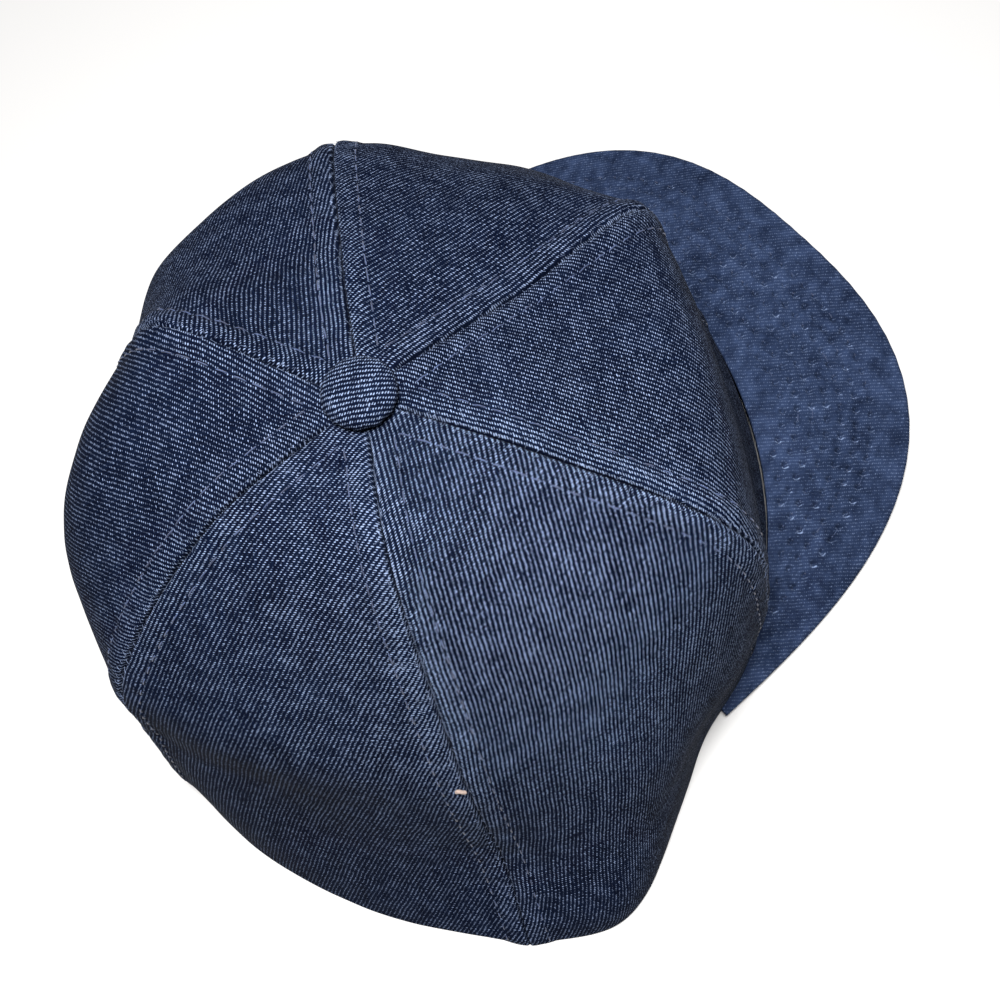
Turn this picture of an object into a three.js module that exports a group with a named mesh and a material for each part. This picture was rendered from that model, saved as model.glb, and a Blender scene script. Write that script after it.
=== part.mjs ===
// A soft six-panel denim cap with a bent visor and a covered button, lying on its rim and its visor.
// Millimetres, +Z up. The front faces -Y and the wearer's left is +X.
// The origin is the middle of the head opening, on the surface that the cap lies on.
import * as THREE from "three";

// Crown: the rim is an oval, and the height is taken at the flat seat of the button.
const crownHeight = 107;
const rimHalfLength = 101;
const rimHalfWidth = 88;
const clothThickness = 1.6;
const seamGap = 0.36;
const tipRadius = 1.3;
const topLeanLeft = 7.5;
const topLeanBack = 2.5;

// Button: a low dome that lies on the panel tips. Its straight side and its flat underside are shares of
// its height and its radius, and its dome is the fuller the lower its roundness is.
const buttonDiameter = 16.4;
const buttonHeight = 5.6;
const buttonSideUp = 0.4;
const buttonUndersideOut = 0.9;
const buttonRoundness = 0.75;
const buttonClearance = 0.3;
const seatMargin = 0.8;

// Visor: a stiff board in cloth, bent about the front-to-back line.
const visorReach = 40;
const visorSideReach = 1.2;
const visorThickness = 3;
const visorBend = 15;
const visorFall = 2.5;
const visorHalfAngle = 74;
const visorFullness = 2.9;
const visorClearance = 0.35;
// At the very edge of the visor's rounded rim, the share of its thickness that is left, and how far the
// last row of points stays inside the edge as a share of the rounding.
const visorEdgeFlat = 0.3;
const visorEdgeInset = 0.1;

// How far round from the visor's ends the lifted rim takes to come down to the surface, in degrees.
const rimFallAngle = 26;
// The share of the way down from which the cloth settles onto the rim's own height.
const settleFrom = 0.8;

// Mesh density.
const panelCount = 6;
const panelColumns = 12;
const crownRows = 21;
const visorColumns = 44;
const visorRows = 8;
const buttonSides = 28;
const buttonSteps = 7;

// The crown's lines from the button to the rim, one at each seam and one in the middle of each panel.
// turn is degrees from the front toward the wearer's left. The lengths are shares: rise (of the crest over
// the button's seat) and shoulderUp of the crown's height, the others of the rim's radius at that turn.
const crownLines = [
  { turn: 0, rise: -0.09, shoulder: 0.79, shoulderUp: 0.84, belly: 0.82, low: 0.95, rim: 0.96 },
  { turn: 30, rise: -0.05, shoulder: 0.74, shoulderUp: 0.8, belly: 0.97, low: 0.99, rim: 0.98 },
  { turn: 60, rise: -0.04, shoulder: 0.88, shoulderUp: 0.78, belly: 0.86, low: 1, rim: 1 },
  { turn: 90, rise: -0.01, shoulder: 0.85, shoulderUp: 0.78, belly: 0.88, low: 1.03, rim: 1 },
  { turn: 120, rise: 0.09, shoulder: 0.62, shoulderUp: 0.94, belly: 0.89, low: 0.97, rim: 0.97 },
  { turn: 150, rise: 0.05, shoulder: 0.73, shoulderUp: 0.84, belly: 0.88, low: 0.96, rim: 0.96 },
  { turn: 180, rise: -0.01, shoulder: 0.78, shoulderUp: 0.74, belly: 0.88, low: 0.94, rim: 0.97 },
  { turn: 210, rise: -0.02, shoulder: 0.74, shoulderUp: 0.69, belly: 0.84, low: 0.97, rim: 1.05 },
  { turn: 240, rise: 0.01, shoulder: 0.76, shoulderUp: 0.67, belly: 0.89, low: 0.98, rim: 1.19 },
  { turn: 270, rise: -0.02, shoulder: 0.75, shoulderUp: 0.77, belly: 1, low: 1.06, rim: 1.08 },
  { turn: 300, rise: -0.02, shoulder: 0.9, shoulderUp: 0.86, belly: 0.99, low: 0.98, rim: 0.98 },
  { turn: 330, rise: -0.03, shoulder: 0.75, shoulderUp: 0.87, belly: 0.84, low: 0.89, rim: 0.93 },
];
const crestOut = 0.42;
const bellyUp = 0.45;
const lowUp = 0.2;

// Soft folds and dents: where they lie, how wide they are (turn in degrees, down as a share of the way from
// the button to the rim) and how far they push the cloth out, as a share of the rim's half length.
const crownFolds = [
  { turn: 253, wide: 11, down: 0.95, tall: 0.16, push: 0.12 },
  { turn: 281, wide: 9, down: 0.92, tall: 0.2, push: -0.04 },
  { turn: 98, wide: 9, down: 0.8, tall: 0.16, push: 0.04 },
  { turn: 209, wide: 12, down: 0.81, tall: 0.14, push: -0.045 },
];

const degrees = THREE.MathUtils.degToRad;
const smooth = (value) => THREE.MathUtils.smoothstep(value, 0, 1);

// Horizontal unit direction at a turn from the front.
function outward(turn) {
  return new THREE.Vector3(Math.sin(degrees(turn)), -Math.cos(degrees(turn)), 0);
}

// Radius of the rim's oval at a turn from the front.
function rimRadius(turn) {
  const along = Math.cos(degrees(turn)) / rimHalfLength;
  const across = Math.sin(degrees(turn)) / rimHalfWidth;
  return 1 / Math.hypot(along, across);
}

// A point round the crown at a turn, from one point on each of the crown's lines: every panel bows through
// its two seams and its middle line, and the folds push it out.
function pointAround(turn, down, stations) {
  const place = (THREE.MathUtils.euclideanModulo(turn, 360) * panelCount) / 360;
  const panel = Math.floor(place);
  const across = place - panel;
  const weights = [(1 - across) * (1 - 2 * across), 4 * across * (1 - across), across * (2 * across - 1)];
  const point = outward(turn).multiplyScalar(foldPush(turn, down));
  weights.forEach((weight, index) => {
    point.addScaledVector(stations[(2 * panel + index) % stations.length], weight);
  });
  return point;
}

// How far the folds push the cloth out at one place.
function foldPush(turn, down) {
  let push = 0;
  for (const fold of crownFolds) {
    const around = (THREE.MathUtils.euclideanModulo(turn - fold.turn + 180, 360) - 180) / fold.wide;
    const along = (down - fold.down) / fold.tall;
    push += fold.push * rimHalfLength * Math.exp(-around * around - along * along);
  }
  return push;
}

// The rim in plan.
const rimStations = crownLines.map((line) => {
  return outward(line.turn).multiplyScalar(line.rim * rimRadius(line.turn));
});

function rimPlan(turn) {
  return pointAround(turn, 1, rimStations);
}

// How far the visor's middle surface lies under its highest point, the middle of its root.
const visorRootY = rimPlan(0).y;
const visorEnds = [rimPlan(visorHalfAngle), rimPlan(-visorHalfAngle)];
const visorBackY = (visorEnds[0].y + visorEnds[1].y) / 2;
const visorHalfWidth = Math.max(visorEnds[0].x, -visorEnds[1].x) + visorClearance + visorSideReach;

function visorDrop(x, y) {
  const forward = (visorRootY - y) / visorReach;
  return visorFall * forward + visorBend * (x / visorHalfWidth) ** 2;
}

// Outer edge of the visor in plan: a full oval from one end of its root to the other.
class VisorEdge extends THREE.Curve {
  getPoint(share, target = new THREE.Vector3()) {
    const angle = (share - 0.5) * Math.PI;
    const power = 2 / visorFullness;
    const x = visorHalfWidth * Math.sign(angle) * Math.abs(Math.sin(angle)) ** power;
    const length = visorReach + visorClearance + visorBackY - visorRootY;
    return target.set(x, visorBackY - length * Math.abs(Math.cos(angle)) ** power, 0);
  }
}

// The visor lies on its lowest edge, which sets how high the middle of its root is.
const visorEdgePoints = new VisorEdge().getSpacedPoints(visorColumns);
const visorRise = Math.max(...visorEdgePoints.map((point) => visorDrop(point.x, point.y)));

// Underside of the visor above the surface it lies on.
function visorUnderside(x, y) {
  return visorRise - visorDrop(x, y);
}

// The rim follows the visor's underside along the front and lies flat round the back.
function rimHeight(turn) {
  const fromFront = Math.abs(THREE.MathUtils.euclideanModulo(turn + 180, 360) - 180);
  const point = rimPlan(turn);
  const share = smooth((visorHalfAngle + rimFallAngle - fromFront) / rimFallAngle);
  return share * Math.max(visorUnderside(point.x, point.y), 0);
}

// The top of the crown leans, so each height has its own centre.
function leaned(turn, out, height) {
  const point = outward(turn).multiplyScalar(out);
  const share = height / crownHeight;
  return point.add(new THREE.Vector3(topLeanLeft * share, topLeanBack * share, height));
}

const seatRadius = buttonDiameter / 2 + seatMargin;

// One line from the seat of the button to the rim.
function crownLine(line) {
  const radius = rimRadius(line.turn);
  return new THREE.CatmullRomCurve3([
    leaned(line.turn, seatRadius, crownHeight),
    leaned(line.turn, crestOut * radius, crownHeight * (1 + line.rise)),
    leaned(line.turn, line.shoulder * radius, line.shoulderUp * crownHeight),
    leaned(line.turn, line.belly * radius, bellyUp * crownHeight),
    leaned(line.turn, line.low * radius, lowUp * crownHeight),
    leaned(line.turn, line.rim * radius, rimHeight(line.turn)),
  ], false, "catmullrom", 0.5);
}

// Rows of points from the button to the rim. Row 0 is the panel tips, on the flat seat with row 1.
function crownPoints() {
  const curves = crownLines.map(crownLine);
  const tips = crownLines.map((line) => leaned(line.turn, tipRadius, crownHeight));
  const turns = Array.from({ length: panelCount * panelColumns }, (_, column) => {
    return (column * 360) / (panelCount * panelColumns);
  });
  const ends = curves.map((curve) => curve.getPointAt(1));
  const settling = turns.map((turn) => rimHeight(turn) - pointAround(turn, 1, ends).z);
  const rows = [];
  for (let row = 0; row <= crownRows; row += 1) {
    const down = Math.max(row - 1, 0) / (crownRows - 1);
    const stations = row === 0 ? tips : curves.map((curve) => curve.getPointAt(down));
    const settled = smooth((down - settleFrom) / (1 - settleFrom));
    rows.push(turns.map((turn, column) => {
      const point = pointAround(turn, down, stations);
      return point.setZ(point.z + settled * settling[column]);
    }));
  }
  return rows;
}

// Outward direction at each point of the crown, level at the rim so that its edge is flat.
function crownDirections(rows) {
  return rows.map((points, row) => points.map((point, column) => {
    const around = points.length;
    const before = points[(column + around - 1) % around];
    const after = points[(column + 1) % around];
    const above = rows[Math.max(row - 1, 0)][column];
    const below = rows[Math.min(row + 1, rows.length - 1)][column];
    const direction = after.clone().sub(before).cross(below.clone().sub(above)).negate();
    if (row === rows.length - 1) {
      direction.z = 0;
    }
    return direction.normalize();
  }));
}

// A closed thin solid between two grids of points, given as rows from one side to the other.
// Seen from the front grid's outside, its rows run down and its columns run to the right.
function thinSolid(front, back) {
  const columns = front[0].length;
  const rows = front.length;
  const positions = [];
  const indices = [];
  const quad = (a, b, c, d) => indices.push(a, b, c, a, c, d);
  for (const grid of [front, back]) {
    grid.flat().forEach((point) => positions.push(point.x, point.y, point.z));
  }
  const at = (row, column) => row * columns + column;
  const under = (row, column) => rows * columns + at(row, column);
  const last = columns - 1;
  const bottom = rows - 1;
  for (let row = 0; row < rows - 1; row += 1) {
    for (let column = 0; column < columns - 1; column += 1) {
      quad(at(row, column), at(row + 1, column), at(row + 1, column + 1), at(row, column + 1));
      quad(under(row, column), under(row, column + 1), under(row + 1, column + 1), under(row + 1, column));
    }
    quad(at(row, 0), under(row, 0), under(row + 1, 0), at(row + 1, 0));
    quad(at(row, last), at(row + 1, last), under(row + 1, last), under(row, last));
  }
  for (let column = 0; column < columns - 1; column += 1) {
    quad(at(0, column), at(0, column + 1), under(0, column + 1), under(0, column));
    quad(at(bottom, column), under(bottom, column), under(bottom, column + 1), at(bottom, column + 1));
  }
  const geometry = new THREE.BufferGeometry();
  geometry.setAttribute("position", new THREE.Float32BufferAttribute(positions, 3));
  geometry.setIndex(indices);
  geometry.computeVertexNormals();
  return geometry;
}

// One panel of the crown, drawn back from its two seams by half the gap between panels.
function panelGeometry(panel, rows, directions) {
  const front = [];
  const back = [];
  rows.forEach((points, row) => {
    const outer = [];
    for (let step = 0; step <= panelColumns; step += 1) {
      const column = (panel * panelColumns + step) % points.length;
      const point = points[column].clone();
      if (step === 0 || step === panelColumns) {
        const inward = (column + points.length + (step === 0 ? 1 : -1)) % points.length;
        const aside = points[inward].clone().sub(point).normalize();
        point.addScaledVector(aside, seamGap / 2);
      }
      outer.push(point);
    }
    front.push(outer);
    back.push(outer.map((point, step) => {
      const column = (panel * panelColumns + step) % points.length;
      return point.clone().addScaledVector(directions[row][column], -clothThickness);
    }));
  });
  return thinSolid(front, back);
}

// A point beside the crown's wall in plan, at a turn and a height over the rim.
function besideWall(rows, turn, height) {
  const place = (THREE.MathUtils.euclideanModulo(turn, 360) * rows[0].length) / 360;
  const column = Math.floor(place);
  const [rim, above] = [crownRows, crownRows - 1].map((row) => {
    return rows[row][column].clone().lerp(rows[row][(column + 1) % rows[row].length], place - column);
  });
  const point = rim.clone().lerp(above, height / (above.z - rim.z));
  return point.addScaledVector(outward(turn), visorClearance).setZ(0);
}

// The visor, from the crown's wall to its own rounded edge.
function visorGeometry(rows) {
  const faces = [0, visorThickness].map((height) => {
    const grid = [];
    for (let row = 0; row <= visorRows; row += 1) {
      grid.push(visorEdgePoints.map((edge, column) => {
        const turn = ((2 * column) / visorColumns - 1) * visorHalfAngle;
        const root = besideWall(rows, turn, height);
        const width = root.distanceTo(edge);
        const rounding = Math.min(visorThickness, width) / (2 * width);
        const isEdge = row === visorRows;
        const share = isEdge ? 1 - rounding * visorEdgeInset : (row / (visorRows - 1)) * (1 - rounding);
        const offset = (height - visorThickness / 2) * (isEdge ? visorEdgeFlat : 1);
        const point = root.lerp(edge, share);
        return point.setZ(visorUnderside(point.x, point.y) + visorThickness / 2 + offset);
      }));
    }
    return grid;
  });
  return thinSolid(faces[1], faces[0]);
}

// The button: a flat underside, a rounded side and a domed top.
function buttonGeometry() {
  const radius = buttonDiameter / 2;
  const sideHeight = buttonHeight * buttonSideUp;
  const profile = [new THREE.Vector2(0, 0), new THREE.Vector2(radius * buttonUndersideOut, 0)];
  for (let step = 0; step < buttonSteps; step += 1) {
    const angle = (step / buttonSteps) * (Math.PI / 2);
    const height = sideHeight + (buttonHeight - sideHeight) * Math.sin(angle);
    profile.push(new THREE.Vector2(radius * Math.cos(angle) ** buttonRoundness, height));
  }
  profile.push(new THREE.Vector2(0, buttonHeight));
  const geometry = new THREE.LatheGeometry(profile, buttonSides);
  geometry.rotateX(Math.PI / 2);
  return geometry;
}

const denim = { color: 0x3b4860, roughness: 0.92, metalness: 0 };
const cap = new THREE.Group();

function addPiece(name, geometry, look) {
  const mesh = new THREE.Mesh(geometry, new THREE.MeshStandardMaterial(look));
  mesh.name = name;
  cap.add(mesh);
  return mesh;
}

const rows = crownPoints();
const directions = crownDirections(rows);
const panelNames = ["front_left", "side_left", "back_left", "back_right", "side_right", "front_right"];
panelNames.forEach((name, panel) => {
  addPiece(`panel_${name}`, panelGeometry(panel, rows, directions), denim);
});

addPiece("visor", visorGeometry(rows), { ...denim, color: 0x49566f });

const button = addPiece("button", buttonGeometry(), { ...denim, color: 0x37435a });
button.position.copy(leaned(0, 0, crownHeight + buttonClearance));

export default cap;
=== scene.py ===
import math
import bpy
import numpy as np
from mathutils import Matrix, Vector, noise


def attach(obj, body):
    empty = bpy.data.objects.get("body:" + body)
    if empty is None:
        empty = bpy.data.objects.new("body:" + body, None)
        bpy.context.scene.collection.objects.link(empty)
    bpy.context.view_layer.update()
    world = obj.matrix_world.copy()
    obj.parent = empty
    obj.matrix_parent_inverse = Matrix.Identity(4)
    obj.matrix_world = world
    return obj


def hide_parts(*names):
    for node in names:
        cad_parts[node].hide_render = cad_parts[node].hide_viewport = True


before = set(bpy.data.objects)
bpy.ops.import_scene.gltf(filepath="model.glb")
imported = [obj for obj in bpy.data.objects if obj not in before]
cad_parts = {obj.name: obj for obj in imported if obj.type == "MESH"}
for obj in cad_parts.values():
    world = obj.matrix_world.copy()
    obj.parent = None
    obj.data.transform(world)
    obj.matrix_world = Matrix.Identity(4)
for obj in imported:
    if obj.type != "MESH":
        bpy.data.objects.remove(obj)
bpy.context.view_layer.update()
print("frame loaded:", len(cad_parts), "nodes")

# Lengths in this script are millimetres until a mesh is made, and the meshes are metres.
# Turns are degrees from the front toward the wearer's left, as in the part's own source.
metre = 0.001
insideStep = 3


def smooth(value):
    value = np.clip(value, 0.0, 1.0)
    return value * value * (3.0 - 2.0 * value)


def dip(value, width):
    return np.exp(-(value / width) ** 2)


def outward(turn):
    angle = np.radians(turn)
    return np.stack([np.sin(angle), -np.cos(angle), np.zeros_like(angle)], axis=-1)


def unit(vectors):
    return vectors / np.maximum(np.linalg.norm(vectors, axis=-1, keepdims=True), 1e-9)


def uneven(points, size, seed):
    # soft unevenness between about -1 and 1
    shift = Vector((7.3 * seed, 3.1 * seed, 5.7 * seed))
    values = [noise.noise(Vector(point) / size + shift) for point in points.reshape(-1, 3)]
    return np.array(values).reshape(points.shape[:-1])


def newObject(name, data):
    thing = bpy.data.objects.new(name, data)
    bpy.context.scene.collection.objects.link(thing)
    return thing


class Sock:
    # one output of a node, so that shader maths reads as plain Python
    def __init__(self, tree, out=None):
        self.tree = tree
        self.out = out

    def make(self, kind, settings=None, inputs=None, output=0):
        node = self.tree.nodes.new(kind)
        for key, value in (settings or {}).items():
            if key == "stops":
                ramp = node.color_ramp
                while len(ramp.elements) < len(value):
                    ramp.elements.new(1.0)
                for element, (place, colour) in zip(ramp.elements, value):
                    element.position = place
                    element.color = colour
            else:
                setattr(node, key, value)
        for key, value in (inputs or {}).items():
            if isinstance(value, Sock):
                self.tree.links.new(value.out, node.inputs[key])
            else:
                node.inputs[key].default_value = value
        return Sock(self.tree, node.outputs[output] if len(node.outputs) > output else None)

    def math(self, operation, *values):
        return self.make("ShaderNodeMath", {"operation": operation}, dict(enumerate(values)))

    def __add__(self, other):
        return self.math("ADD", self, other)

    def __radd__(self, other):
        return self.math("ADD", other, self)

    def __sub__(self, other):
        return self.math("SUBTRACT", self, other)

    def __rsub__(self, other):
        return self.math("SUBTRACT", other, self)

    def __mul__(self, other):
        return self.math("MULTIPLY", self, other)

    def __rmul__(self, other):
        return self.math("MULTIPLY", other, self)

    def __truediv__(self, other):
        return self.math("DIVIDE", self, other)

    def wave(self):
        # 1 at whole numbers and 0 half way between them
        return 0.5 + 0.5 * self.math("COSINE", self * math.tau)

    def between(self, low, high):
        return self.make(
            "ShaderNodeMapRange", {"interpolation_type": "SMOOTHSTEP"}, {0: self, 1: low, 2: high})

    def part(self, index):
        return self.make("ShaderNodeSeparateXYZ", {}, {0: self}, index)

    def scaled(self, x, y, z):
        return self.make("ShaderNodeVectorMath", {"operation": "MULTIPLY"}, {0: self, 1: (x, y, z)})

    def moved(self, other):
        return self.make("ShaderNodeVectorMath", {"operation": "ADD"}, {0: self, 1: other})

    def grain(self, scale, detail=1.0, rough=0.5, output=0):
        settings = {"noise_dimensions": "3D"}
        inputs = {"Vector": self, "Scale": scale, "Detail": detail, "Roughness": rough}
        return self.make("ShaderNodeTexNoise", settings, inputs, output)

    def colour(self, low, high):
        # from the colour low to the colour high as this value goes from 0 to 1
        return self.make("ShaderNodeMix", {"data_type": "RGBA"}, {0: self, 6: low, 7: high}, 2)


def newMaterial(name):
    material = bpy.data.materials.new(name)
    material.use_nodes = True
    material.node_tree.nodes.clear()
    return material, Sock(material.node_tree)


# Right-hand twill: three warps over, one weft under. The warp runs along the cloth map's second axis.
denim = {
    "warpPitch": 0.287,
    "weftPitch": 0.478,
    "wander": 0.35,
    "wanderSize": 8.0,
    "dye": (0.0004, 0.001, 0.0045, 1.0),
    "dyePale": (0.0015, 0.0036, 0.012, 1.0),
    "haze": (0.0062, 0.0135, 0.039, 1.0),
    "weft": (0.155, 0.2, 0.31, 1.0),
    "reverse": (0.065, 0.08, 0.12, 1.0),
    "bumpDepth": 0.00011,
    "dots": 1.0,
    "speckShow": 1.7,
    "slubShow": 0.8,
    "patchShow": 0.6,
    "wearAndLightShow": 0.45,
    "usualWearAndLight": 0.3,
    "paleFrom": 0.4,
    "paleTo": 1.15,
    "wideHaze": 0.5,
    "wearAndLightHaze": 0.12,
    "rubAndLightShare": 0.6,
}
visorCloth = {
    **denim,
    "wander": 0.5,
    "haze": (0.027, 0.044, 0.097, 1.0),
    "weft": (0.15, 0.2, 0.32, 1.0),
    "dots": 0.5,
}


def denimMaterial(name, turn=0.0, weftShow=1.0, contrast=1.0, lift=0.0, cloth=denim, mottle=0.5):
    material, start = newMaterial(name)
    flat = start.make("ShaderNodeUVMap", {"uv_map": "cloth"})
    millimetres = start.make("ShaderNodeMapping", {"vector_type": "TEXTURE"}, {
        "Vector": flat, "Rotation": (0.0, 0.0, math.radians(turn)), "Scale": (metre, metre, metre)})
    drift = millimetres.grain(1.0 / cloth["wanderSize"], 2.0, 0.5, 1).moved((-0.5, -0.5, -0.5))
    thread = millimetres.moved(drift.scaled(*[2.0 * cloth["wander"]] * 2, 0.0))
    warp = thread.part(0) / cloth["warpPitch"]
    weft = thread.part(1) / cloth["weftPitch"]
    rib = ((warp + weft) / 4.0).wave()
    dot = weft.wave()
    speck = thread.grain(1.7, 2.0, 0.6)
    slub = thread.scaled(0.16, 1.8, 1.0).grain(1.0, 2.0, 0.6)
    streak = thread.scaled(3.4, 0.1, 1.0).grain(1.0, 2.0, 0.6)
    patch = millimetres.grain(0.2, 3.0, 0.6)
    wide = millimetres.grain(0.035, 2.0, 0.5)
    # this attribute holds real wear at the seams, rim and visor edge together with painted light: a pool of
    # light on the crown and lit crescents at the visor's stitch holes
    wear = start.make("ShaderNodeAttribute", {"attribute_name": "wear"}, {}, 2)
    inner = start.make("ShaderNodeAttribute", {"attribute_name": "inner"}, {}, 2)
    show = rib * (1.0 - cloth["dots"] * (1.0 - dot)) + (speck - 0.5) * cloth["speckShow"]
    show = show + (slub - 0.5) * cloth["slubShow"] + (patch - 0.5) * cloth["patchShow"]
    show = show + (wear - cloth["usualWearAndLight"]) * cloth["wearAndLightShow"]
    pale = show.between(cloth["paleFrom"], cloth["paleTo"]) * weftShow
    hazy = (wide - 0.5) * cloth["wideHaze"] + (patch - 0.5) * mottle + lift + wear * cloth["wearAndLightHaze"]
    ground = streak.between(0.3, 0.75).colour(cloth["dye"], cloth["dyePale"])
    ground = start.make("ShaderNodeMix", {"data_type": "RGBA"}, {
        0: hazy.between(-0.15, 1.1), 6: ground, 7: cloth["haze"]}, 2)
    # more pale weft where the attribute runs high: real rubbing along the seams, and painted highlights at
    # the visor's stitch holes
    rubbedAndLit = (wear + (speck - 0.5) * 1.6).between(0.95, 1.5) * cloth["rubAndLightShare"]
    face = start.make("ShaderNodeMix", {"data_type": "RGBA", "clamp_factor": True}, {
        0: pale * (2.4 * speck - 0.2) * contrast + rubbedAndLit, 6: ground, 7: cloth["weft"]}, 2)
    back = (1.0 - rib * 0.7).between(0.2, 1.0).colour(ground, cloth["reverse"])
    base = start.make("ShaderNodeMix", {"data_type": "RGBA"}, {0: inner, 6: face, 7: back}, 2)
    height = (1.0 - rib) * 0.6 + warp.wave() * 0.2 + (speck - 0.5) * 0.6
    bump = start.make("ShaderNodeBump", {}, {
        "Strength": 0.6, "Distance": cloth["bumpDepth"] * contrast, "Height": height})
    shader = start.make("ShaderNodeBsdfPrincipled", {}, {
        "Base Color": base, "Roughness": 0.88 + 0.1 * pale, "Normal": bump,
        "Specular IOR Level": 0.02, "Sheen Weight": 0.003, "Sheen Roughness": 0.5,
        "Sheen Tint": (0.75, 0.8, 0.95, 1.0)})
    start.make("ShaderNodeOutputMaterial", {}, {"Surface": shader})
    return material


def threadMaterial(name, colour, dark):
    material, start = newMaterial(name)
    place = start.make("ShaderNodeTexCoord", {}, {}, 3)
    tone = place.grain(900.0, 2.0, 0.6).between(0.3, 0.7)
    age = place.grain(60.0, 1.0, 0.5).between(0.35, 0.65)
    base = (tone * 0.5 + age * 0.5).colour(dark, colour)
    bump = start.make("ShaderNodeBump", {}, {"Strength": 0.4, "Distance": 0.00005, "Height": tone})
    shader = start.make("ShaderNodeBsdfPrincipled", {}, {
        "Base Color": base, "Roughness": 0.6 + 0.2 * tone, "Normal": bump, "Specular IOR Level": 0.35,
        "Sheen Weight": 0.15})
    start.make("ShaderNodeOutputMaterial", {}, {"Surface": shader})
    return material


crownDenim = denimMaterial("crown_denim")
visorDenim = denimMaterial("visor_denim", -68.1, 0.6, 0.45, 0.35, visorCloth, 0.9)
buttonDenim = denimMaterial("button_denim", -63.1, 1.1)
seamThread = threadMaterial("seam_thread", (0.026, 0.045, 0.11, 1.0), (0.004, 0.008, 0.028, 1.0))
visorThread = threadMaterial("visor_thread", (0.02, 0.034, 0.08, 1.0), (0.006, 0.011, 0.034, 1.0))
paleThread = threadMaterial("pale_thread", (0.36, 0.28, 0.24, 1.0), (0.2, 0.15, 0.13, 1.0))
lint = threadMaterial("lint", (0.1, 0.14, 0.24, 1.0), (0.02, 0.032, 0.07, 1.0))
print("materials made")


def fitted(count):
    # the nearest count of grid lines that the coarser inside can share
    return (count - 1) // insideStep * insideStep + 1


def clothPiece(name, material, front, back, flat, wear):
    # a closed shell between two grids of points: rows run down and columns to the right seen from outside
    # the inside keeps every third line of the grid
    rows, columns = front.shape[:2]
    count = rows * columns
    index = np.arange(count).reshape(rows, columns)
    back = back[::insideStep, ::insideStep]
    under = count + np.arange(back.shape[0] * back.shape[1]).reshape(back.shape[:2])
    quads = [
        np.stack([index[:-1, :-1], index[1:, :-1], index[1:, 1:], index[:-1, 1:]], axis=-1),
        np.stack([under[:-1, :-1], under[:-1, 1:], under[1:, 1:], under[1:, :-1]], axis=-1),
    ]
    faces = np.concatenate([quad.reshape(-1, 4) for quad in quads]).tolist()
    sides = ((index[::-1, 0], under[::-1, 0]), (index[:, -1], under[:, -1]),
             (index[0], under[0]), (index[-1, ::-1], under[-1, ::-1]))
    for upper, lower in sides:
        for step in range(len(lower) - 1):
            share = upper[step * insideStep:(step + 1) * insideStep + 1]
            faces.append(share.tolist() + [int(lower[step + 1]), int(lower[step])])
    points = np.concatenate([front.reshape(-1, 3), back.reshape(-1, 3)]) * metre
    mesh = bpy.data.meshes.new(name)
    mesh.from_pydata(points.tolist(), [], faces)
    layer = mesh.uv_layers.new(name="cloth")
    places = np.concatenate([flat.reshape(-1, 2), flat[::insideStep, ::insideStep].reshape(-1, 2)]) * metre
    corners = np.empty(len(mesh.loops), dtype=np.int32)
    mesh.loops.foreach_get("vertex_index", corners)
    layer.data.foreach_set("uv", places[corners].astype(np.float32).ravel())
    insideCount = back.shape[0] * back.shape[1]
    values = {"wear": (wear.ravel(), np.zeros(insideCount)), "inner": (np.zeros(count), np.ones(insideCount))}
    for key, parts in values.items():
        attribute = mesh.attributes.new(key, "FLOAT", "POINT")
        attribute.data.foreach_set("value", np.concatenate(parts).astype(np.float32))
    mesh.shade_smooth()
    mesh.materials.append(material)
    mesh.validate()
    return newObject(name, mesh)


crown = {
    "height": 107.0,
    "rimHalfLength": 101.0,
    "rimHalfWidth": 88.0,
    "leanLeft": 7.5,
    "leanBack": 2.5,
    "tipRadius": 1.3,
    "seatRadius": 9.0,
    "crestOut": 0.42,
    "bellyUp": 0.45,
    "lowUp": 0.2,
    "cloth": 1.6,
    "settleFrom": 0.8,
    "rimFallAngle": 26.0,
    # turn, rise of the crest, shoulder out and up, belly, low and rim out, as in the part's source
    "lines": [
        (0, -0.09, 0.79, 0.84, 0.82, 0.95, 0.96),
        (30, -0.05, 0.74, 0.8, 0.97, 0.99, 0.98),
        (60, -0.04, 0.88, 0.78, 0.86, 1.0, 1.0),
        (90, -0.01, 0.85, 0.78, 0.88, 1.03, 1.0),
        (120, 0.09, 0.62, 0.94, 0.89, 0.97, 0.97),
        (150, 0.05, 0.73, 0.84, 0.88, 0.96, 0.96),
        (180, -0.01, 0.78, 0.74, 0.88, 0.94, 0.97),
        (210, -0.02, 0.74, 0.69, 0.84, 0.97, 1.05),
        (240, 0.01, 0.76, 0.67, 0.89, 0.98, 1.19),
        (270, -0.02, 0.75, 0.77, 1.0, 1.06, 1.08),
        (300, -0.02, 0.9, 0.86, 0.99, 0.98, 0.98),
        (330, -0.03, 0.75, 0.87, 0.84, 0.89, 0.93),
    ],
    # turn, width, down, tallness, push out as a share of the rim's half length
    "folds": [
        (253, 11, 0.95, 0.16, 0.12),
        (281, 9, 0.92, 0.2, -0.04),
        (98, 9, 0.8, 0.16, 0.04),
        (209, 12, 0.81, 0.14, -0.045),
    ],
    # finer dents, in the same terms, with the push in millimetres
    "dents": [
        (212, 16, 0.2, 0.1, -0.9),
        (51, 7, 0.5, 0.4, 1.6),
        (72, 8, 0.5, 0.4, 0.6),
        (103, 9, 0.55, 0.4, 1.8),
        (152, 12, 0.55, 0.4, 1.8),
        (238, 10, 0.7, 0.4, 1.0),
        (262, 10, 0.7, 0.4, 1.6),
    ],
}

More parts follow.
